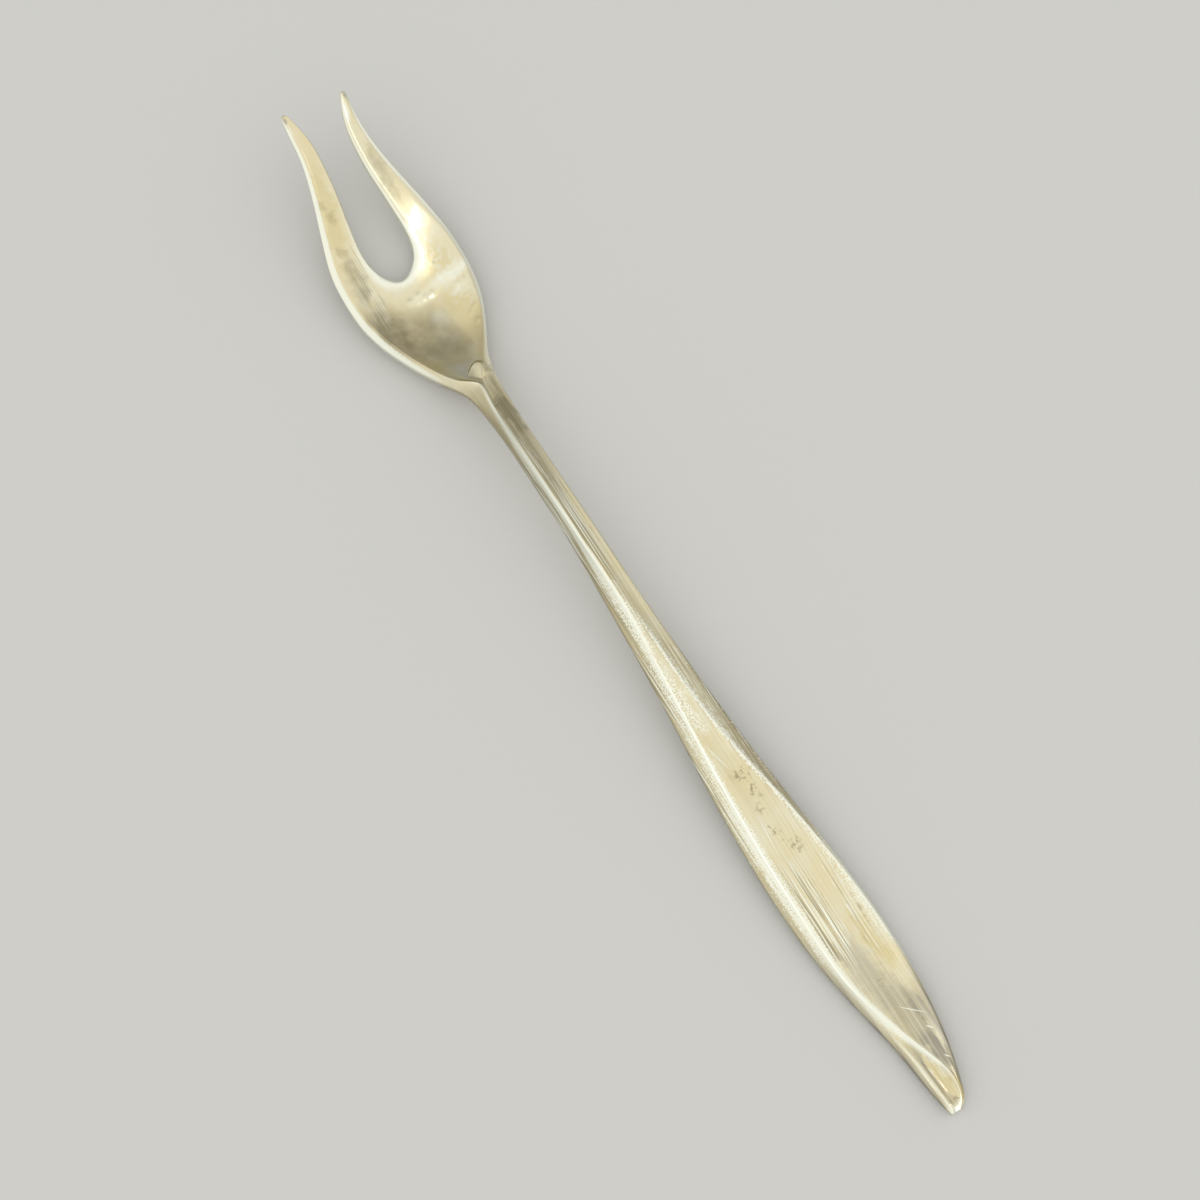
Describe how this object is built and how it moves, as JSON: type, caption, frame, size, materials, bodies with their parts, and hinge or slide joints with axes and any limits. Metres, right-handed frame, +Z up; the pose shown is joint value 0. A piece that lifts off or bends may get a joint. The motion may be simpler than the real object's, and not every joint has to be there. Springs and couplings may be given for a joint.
{
  "type": "olive fork",
  "caption": "Silver olive fork with a leaf-shaped handle, a slim ridged stem and a hollowed head with curved tines, for lifting olives and pickles from a dish.",
  "frame": {"origin": "centre of the bounding box's underside, on the table that the fork lies on", "axes": "+Y along the fork towards the tines, +X to the right when the hollow side faces up and the tines point away, +Z up out of the table"},
  "size_m": [0.0162, 0.146, 0.0098],
  "materials": {
    "worn_silver": "polished silver with a warm tarnish, brush lines and wear"
  },
  "bodies": {
    "root": {"fork": "worn_silver"}
  },
  "joints": []
}
